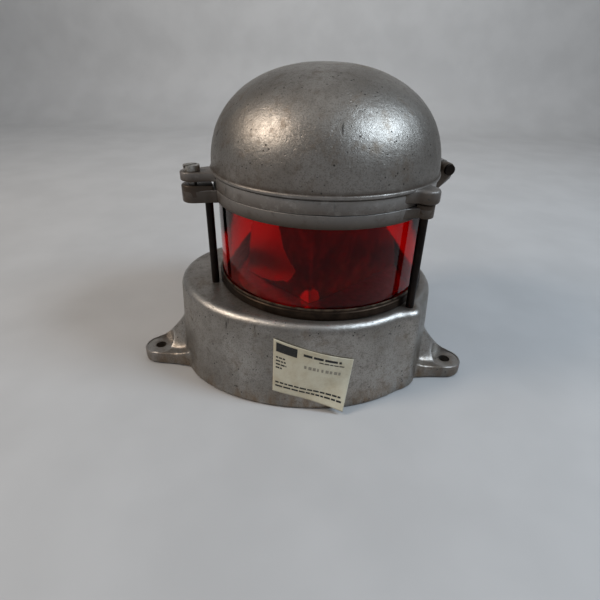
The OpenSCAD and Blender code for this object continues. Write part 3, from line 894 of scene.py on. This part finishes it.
parts = [hood_turned]
clamp_lug = lug_outline(86.5, CLAMP_R, CLAMP_LUG_R, 4.5)
add_lug(parts, CLAMP_ANGLE, clamp_lug, CLAMP_LUG_Z, CLAMP_LUG_Z + CLAMP_LUG_T, 0.8)
for a in LUG_ROD_ANGLES:
    boss = lug_outline(83.8, ROD_CIRCLE, BOSS_R, 24)
    add_lug(parts, a, boss, HOOD_LOW + 2.7, HOOD_LOW + 13.0, 2.2)
tongue_outline = [(86.5, HINGE_Z - 4)]
tongue_outline += arc_points(HINGE_R, HINGE_Z, TONGUE_KNUCKLE_R, -90, 91)
tongue_outline += [(HINGE_R - 5, HINGE_Z + 6.6), (95, HINGE_Z + 7.6), (87, HINGE_Z + 9)]
tongue = radial_plate("tongue", tongue_outline, 5.1, 0.7)
parts.append(bake_transform(tongue, polar_frame(HINGE_ANGLE)))
hood = join("hood_body", parts)
roughen(hood, [(0.3, 40), (0.1, 9)])
sharpen(hood, 38)
co = coords_mm(hood)
radius = from_lens_axis(co)
bead = stripe(co[:, 2], FLANGE_TOP + 2.4, 1.3) * (radius > FLANGE_R + 0.5)
flange_rim = stripe(co[:, 2], FLANGE_TOP - 0.2, 0.7) * (radius > FLANGE_R - 1.5)
low_rim = stripe(co[:, 2], HOOD_LOW + 0.2, 0.7) * (radius > FLANGE_R - 1.2) * 0.6
set_attribute(hood, "wear_and_highlight", np.clip(0.22 * bead + 0.3 * flange_rim + 0.25 * low_rim, 0, 1))
# darker brown on the band below the bead and on the lugs is grime; on the lower dome it is partly grime,
# partly painted shade
band = np.clip((BEAD_TOP + 1.5 - co[:, 2]) / 3.0, 0, 1) * 0.95
low_dome = np.exp(-np.clip(co[:, 2] - BEAD_TOP, 0, 90) / 12) * (co[:, 2] > BEAD_TOP - 0.6) * 0.6
outside = np.clip((radius - FLANGE_R - 2.5) / 1.5, 0, 1) * 1.2
set_attribute(hood, "grime_and_shade", np.clip(band + low_dome + outside, 0, 1))
dress(hood, cast_metal("cast_hood", grime_and_shade=True))
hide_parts("hood_casting")
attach(hood, "hood")

# ---------- upper ring ----------

profile = rounded(
    [(GROOVE_R, RING_LOW), (RING_R - 0.5, RING_LOW), (RING_R, RING_TOP), (LIP_R, RING_TOP),
     (LIP_R, LIP_TOP), (RING_BORE_R, LIP_TOP), (RING_BORE_R, RING_GROOVE_TOP),
     (GROOVE_R, RING_GROOVE_TOP)],
    [0.3, 0.8, 0.5, 0.3, 0.4, 0.4, 0.3, 0.3], 3)
parts = [revolve("ring_turned", profile, 256, (LENS_X, LENS_Y))]
for a in LUG_ROD_ANGLES:
    add_lug(parts, a, lug_outline(85, ROD_CIRCLE, ROD_LUG_R, 22), RING_LOW + 2.4, RING_TOP - 0.05, 0.9)
    add_lug(parts, a, lug_outline(92.2, ROD_CIRCLE, ROD_LUG_R, 0.2), RING_LOW + 5, RING_LOW + 12.5, 0.9)
clamp_lug = lug_outline(86, CLAMP_R, CLAMP_LUG_R, 3)
add_lug(parts, CLAMP_ANGLE, clamp_lug, RING_LOW + 0.1, RING_TOP - 0.05, 0.9)
clamp_pad = lug_outline(92.4, CLAMP_R, CLAMP_LUG_R, 0.4)
add_lug(parts, CLAMP_ANGLE, clamp_pad, RING_LOW + 4, RING_LOW + 13.5, 0.9)
ear_outline = [(86.5, RING_LOW + 0.3), (HINGE_R - 8, RING_LOW + 0.3), (HINGE_R + 3, HINGE_Z - 8)]
ear_outline += arc_points(HINGE_R, HINGE_Z, RING_KNUCKLE_R, -30, 181)
ear_outline += [(HINGE_R - 10, RING_TOP - 0.4), (86.5, RING_TOP - 0.4)]
for s in (-1, 1):
    ear = radial_plate("ear", ear_outline, 4.7, 0.8)
    bake_transform(ear, Matrix.Translation(Vector((0, s * HINGE_EAR_Y, 0)) * MM))
    parts.append(bake_transform(ear, polar_frame(HINGE_ANGLE)))
ring = join("ring_body", parts)
roughen(ring, [(0.2, 30), (0.08, 7)])
sharpen(ring, 38)
co = coords_mm(ring)
rim = stripe(co[:, 2], RING_TOP, 0.8) * (from_lens_axis(co) > RING_R - 1)
set_attribute(ring, "wear_and_highlight", np.clip(rim * 0.3, 0, 1))
set_attribute(ring, "grime_and_shade", np.full(len(co), 1.0))
ring_cast = cast_metal("cast_ring", grime_and_shade=True, light=(0.115, 0.103, 0.085), dark=(0.06, 0.054, 0.045))
dress(ring, ring_cast)
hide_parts("upper_ring")
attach(ring, "light_body")

# ---------- lens and lower ring ----------

profile = rounded(
    [(LENS_R - LENS_WALL, lens_low[2]), (LENS_R, lens_low[2]), (LENS_R, lens_high[2]),
     (LENS_R - LENS_WALL, lens_high[2])], 0.7, 3)
lens = revolve("lens_glass", profile, 256, (LENS_X, LENS_Y))
sharpen(lens, 60)
dress(lens, MATERIALS["red_glass"])
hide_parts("lens")
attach(lens, "light_body")

z0, z1 = low_ring_low[2], low_ring_high[2]
profile = rounded(
    [(LOW_RING_BORE_R, z0), (LOW_RING_R - 0.6, z0), (LOW_RING_R, z0 + 1), (LOW_RING_R, z0 + 6.6),
     (LOW_RING_R - 1.1, z0 + 7.4), (LOW_RING_R - 1.1, z1), (GROOVE_R, z1),
     (GROOVE_R, z0 + 3), (LOW_RING_BORE_R, z0 + 3)],
    [0.2, 0.5, 0.4, 0.6, 0.5, 0.7, 0.5, 0.2, 0.2], 3)
low_ring = revolve("lower_ring", profile, 256, (LENS_X, LENS_Y))
roughen(low_ring, [(0.12, 18)])
sharpen(low_ring, 50)
dress(low_ring, RING_METAL)
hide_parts("lower_lens_ring")
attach(low_ring, "light_body")

# ---------- light screen ----------

SCREEN_LOW = screen_low[2]
SCREEN_H = screen_high[2] - SCREEN_LOW
APEX = (7.0, -20.0)
LEFT_REACH, RIGHT_REACH = 83, 111
# the painted pool of lamp light on the left leaf, bounded by painted shadows of the upper ring and a tie
# rod: distance from the bend, and height
PAINTED_LIGHT_AREA = [(86, -4), (86, 32), (70, 47), (53, 66), (44, 52), (33, 32), (17, 20), (27, 9), (52, 1)]


def screen_top(u):
    """Height of the sheet at a distance u from the bend; u is negative on the left leaf."""
    reach, cut_u, cut_z = (LEFT_REACH, 49, 32) if u < 0 else (RIGHT_REACH, 49, 16)
    t = min(max((abs(u) - cut_u) / (reach - cut_u), 0), 1)
    return SCREEN_H + (cut_z - SCREEN_H) * t


def polygon_distance(point, polygon):
    """Distance from the polygon's outline, positive inside."""
    p = np.array(point, float)
    best, inside = 1e9, False
    for a, b in zip(polygon, polygon[1:] + polygon[:1]):
        a, b = np.array(a, float), np.array(b, float)
        t = np.clip(np.dot(p - a, b - a) / np.dot(b - a, b - a), 0, 1)
        best = min(best, np.linalg.norm(p - a - t * (b - a)))
        if (a[1] > p[1]) != (b[1] > p[1]) and p[0] < (b[0] - a[0]) * (p[1] - a[1]) / (b[1] - a[1]) + a[0]:
            inside = not inside
    return best if inside else -best


verts, faces, painted_light = [], [], []
columns = [u for u in np.linspace(-LEFT_REACH, -0.8, 60)]
columns += [u for u in np.linspace(0.8, RIGHT_REACH, 80)]
ROWS = 48
for u in columns:
    angle = math.radians(135 if u < 0 else 45)
    waviness = 0.35 * noise.noise(Vector((u / 30, 0.2, 0.7)))
    for k in range(ROWS + 1):
        z = screen_top(u) * k / ROWS
        x = APEX[0] + 0.35 + abs(u) * math.cos(angle)
        y = APEX[1] + 0.85 + abs(u) * math.sin(angle) + waviness * 0.5
        verts.append((x, y, SCREEN_LOW + z))
        # painted light inside the patch and in a small spot at the bend's foot; painted shadow between
        # them, the right leaf black
        near = polygon_distance((-u, z), PAINTED_LIGHT_AREA) if u < 0 else -8.0
        painted_light.append(max(near, 5 - 0.5 * math.hypot(u, z)))
row = ROWS + 1
for i in range(len(columns) - 1):
    for k in range(ROWS):
        faces.append((i * row + k, (i + 1) * row + k, (i + 1) * row + k + 1, i * row + k + 1))
screen = add_object("screen_sheet", verts, faces)
set_attribute(screen, "painted_light", painted_light)
thick = screen.modifiers.new("thick", "SOLIDIFY")
thick.thickness = 1.1 * MM
thick.offset = 0
dress(screen, MATERIALS["black_sheet"])
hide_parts("light_screen")
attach(screen, "light_body")

tabs = []
bend_foot = Matrix.Translation(Vector((*APEX, SCREEN_LOW)) * MM)
for turn, side, place in ((45, 1, 47.2), (135, -1, 43.2)):
    start, end = place - 7, place + 7
    outline = [(start, 0.6 * side), (end, 0.6 * side), (end, 14 * side), (start, 14 * side)]
    tab = prism("tab", rounded(outline, 2.5), 0, 1.2, 0.25)
    tabs.append(bake_transform(tab, bend_foot @ Matrix.Rotation(math.radians(turn), 4, "Z")))
tab_piece = join("screen_feet", tabs)
recalc(tab_piece)
sharpen(tab_piece, 40)
dress(tab_piece, plain_metal("dull_sheet", (0.12, 0.11, 0.1), (0.06, 0.055, 0.05), 0.4, 5))
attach(tab_piece, "light_body")

# ---------- paper label ----------

# the label's corners, as (x, z) on the base's front
LABEL = {"tl": (-18.4, 64.0), "tr": (43.6, 46.8), "br": (38.8, 6.0), "bl": (-19.4, 16.6)}


def wall_y(x, z):
    """The base's front face."""
    low, high = -90.0, 0.0
    for _ in range(22):
        mid = (low + high) / 2
        if base_distance(x, mid, z / TOP_LEVEL) < 0:
            high = mid
        else:
            low = mid
    return high


def label_point(u, v, lift=0.0):
    """A point on the label: u runs left to right and v bottom to top, both 0 to 1."""
    corners = [np.array(LABEL[k]) for k in ("bl", "br", "tl", "tr")]
    p = ((1 - u) * (1 - v) * corners[0] + u * (1 - v) * corners[1]
         + (1 - u) * v * corners[2] + u * v * corners[3])
    curl = max(0.0, u - v - 0.34) / 0.66
    ripple = 0.25 * noise.noise(Vector((u * 5, v * 4, 0.3)))
    away = 0.75 + lift + ripple * 0.5 + 8.0 * curl ** 1.7
    x = p[0] - 1.5 * curl ** 2
    z = p[1] - 2.5 * curl ** 2
    return (x, wall_y(p[0], max(p[1], 2)) - away, max(z, 1.0))


def patch(u0, u1, v0, v1, lift, nu, nv):
    verts = [label_point(u0 + (u1 - u0) * i / nu, v0 + (v1 - v0) * j / nv, lift)
             for j in range(nv + 1) for i in range(nu + 1)]
    faces = [(j * (nu + 1) + i, j * (nu + 1) + i + 1, (j + 1) * (nu + 1) + i + 1, (j + 1) * (nu + 1) + i)
             for j in range(nv) for i in range(nu)]
    return verts, faces


verts, faces = patch(0, 1, 0, 1, 0, 60, 48)
label = add_object("label_sheet", verts, faces)
thick = label.modifiers.new("thick", "SOLIDIFY")
thick.thickness = 0.16 * MM
thick.offset = -1
dress(label, MATERIALS["label_paper"])
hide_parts("maker_label")
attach(label, "light_body")

rng = random.Random(11)
all_verts, all_faces = [], []


def add_bar(u0, u1, v0, v1):
    nu = max(1, int((u1 - u0) * 40))
    verts, faces = patch(u0, u1, v0, v1, 0.09, nu, 2)
    offset = len(all_verts)
    all_verts.extend(verts)
    all_faces.extend(tuple(i + offset for i in f) for f in faces)


def add_words(u0, u1, v, height, word=0.05, gap=0.012):
    """A line of bars standing for words."""
    u = u0
    while u < u1 - 0.01:
        length = min(word * rng.uniform(0.5, 1.4), u1 - u)
        add_bar(u, u + length, v, v + height)
        u += length + gap


# a plain block and lines of bars stand for the printing
add_bar(0.035, 0.3, 0.79, 0.955)
add_words(0.38, 0.86, 0.86, 0.045, 0.12, 0.02)
add_words(0.58, 0.9, 0.8, 0.02, 0.06, 0.01)
for row in range(4):
    add_words(0.035, 0.035 + rng.uniform(0.08, 0.14), 0.67 - row * 0.065, 0.028, 0.05, 0.01)
add_words(0.035, 0.93, 0.185, 0.03, 0.07, 0.014)
add_words(0.035, 0.95, 0.115, 0.03, 0.07, 0.014)
print_marks = add_object("label_print", all_verts, all_faces)
dress(print_marks, ink("label_ink", (0.012, 0.012, 0.012), (0.07, 0.065, 0.055)))
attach(print_marks, "light_body")

all_verts, all_faces = [], []
for k in range(9):
    add_bar(0.4 + k * 0.055, 0.4 + k * 0.055 + rng.uniform(0.022, 0.04), 0.62, 0.68)
stamp = add_object("label_stamp", all_verts, all_faces)
dress(stamp, ink("stamp_ink", (0.3, 0.27, 0.21), (0.42, 0.38, 0.3)))
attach(stamp, "light_body")

# ---------- floor, backdrop, lights, camera ----------


def backdrop():
    floor_near, wall_y_mm, bend, top = -4000, 1500, 240, 2200
    outline = [(floor_near, 0)]
    for k in range(9):
        a = math.radians(90 * k / 8)
        outline.append((wall_y_mm - bend + bend * math.sin(a), bend - bend * math.cos(a)))
    outline.append((wall_y_mm, top))
    verts = [(x, y, z) for x in (-4500, 4500) for y, z in outline]
    n = len(outline)
    faces = [(i, n + i, n + i + 1, i + 1) for i in range(n - 1)]
    obj = add_object("backdrop", verts, faces)
    m = Nodes("backdrop")
    m.set(Metallic=0.0, Roughness=0.6)
    m.colour(m.mix(m.ramp(m.noise(90, 3, 0.5), 0.3, 0.7), (0.5, 0.5, 0.5), (0.54, 0.54, 0.54)))
    dress(obj, m.material)


def area_light(name, place, target, size, power, colour):
    data = bpy.data.lights.new(name, "AREA")
    data.shape = "DISK"
    data.size = size
    data.energy = power
    data.color = colour
    obj = bpy.data.objects.new(name, data)
    bpy.context.scene.collection.objects.link(obj)
    obj.location = place
    obj.rotation_mode = "QUATERNION"
    obj.rotation_quaternion = (Vector(target) - Vector(place)).to_track_quat("-Z", "Y")


backdrop()
area_light("warm_left", (-0.95, -0.26, 1.0), (0, 0.04, 0.15), 0.42, 6.8, (1.0, 0.87, 0.74))
area_light("cool_right", (0.9, -0.18, 1.05), (0, 0.04, 0.15), 0.4, 9.2, (0.72, 0.86, 1.0))
area_light("overhead", (0.0, 0.1, 1.7), (0, 0.16, 0.0), 1.6, 2.2, (1.0, 0.99, 0.97))
area_light("backdrop_light", (0.0, 0.55, 1.2), (0, 1.55, 0.9), 1.2, 6, (1.0, 0.99, 0.97))

world = bpy.data.worlds.new("room")
world.use_nodes = True
world.node_tree.nodes["Background"].inputs["Color"].default_value = (0.9, 0.92, 0.96, 1)
world.node_tree.nodes["Background"].inputs["Strength"].default_value = 0.24
bpy.context.scene.world = world
bpy.context.scene.view_settings.view_transform = "Standard"

camera_data = bpy.data.cameras.new("camera")
camera_data.sensor_width = 36
camera_data.lens = 26.35
camera_data.clip_start = 0.01
camera = bpy.data.objects.new("camera", camera_data)
bpy.context.scene.collection.objects.link(camera)
pan, pitch, roll = math.radians(-2.74), math.radians(29.96), math.radians(1.18)
forward = Vector((math.sin(pan) * math.cos(pitch), math.cos(pan) * math.cos(pitch), -math.sin(pitch)))
level_right = Vector((math.cos(pan), -math.sin(pan), 0))
level_up = level_right.cross(forward)
right = math.cos(roll) * level_right + math.sin(roll) * level_up
up = -math.sin(roll) * level_right + math.cos(roll) * level_up
turned = Matrix((right, up, -forward)).transposed().to_4x4()
camera.matrix_world = Matrix.Translation((0.014, -0.32843, 0.25549)) @ turned
bpy.context.scene.camera = camera
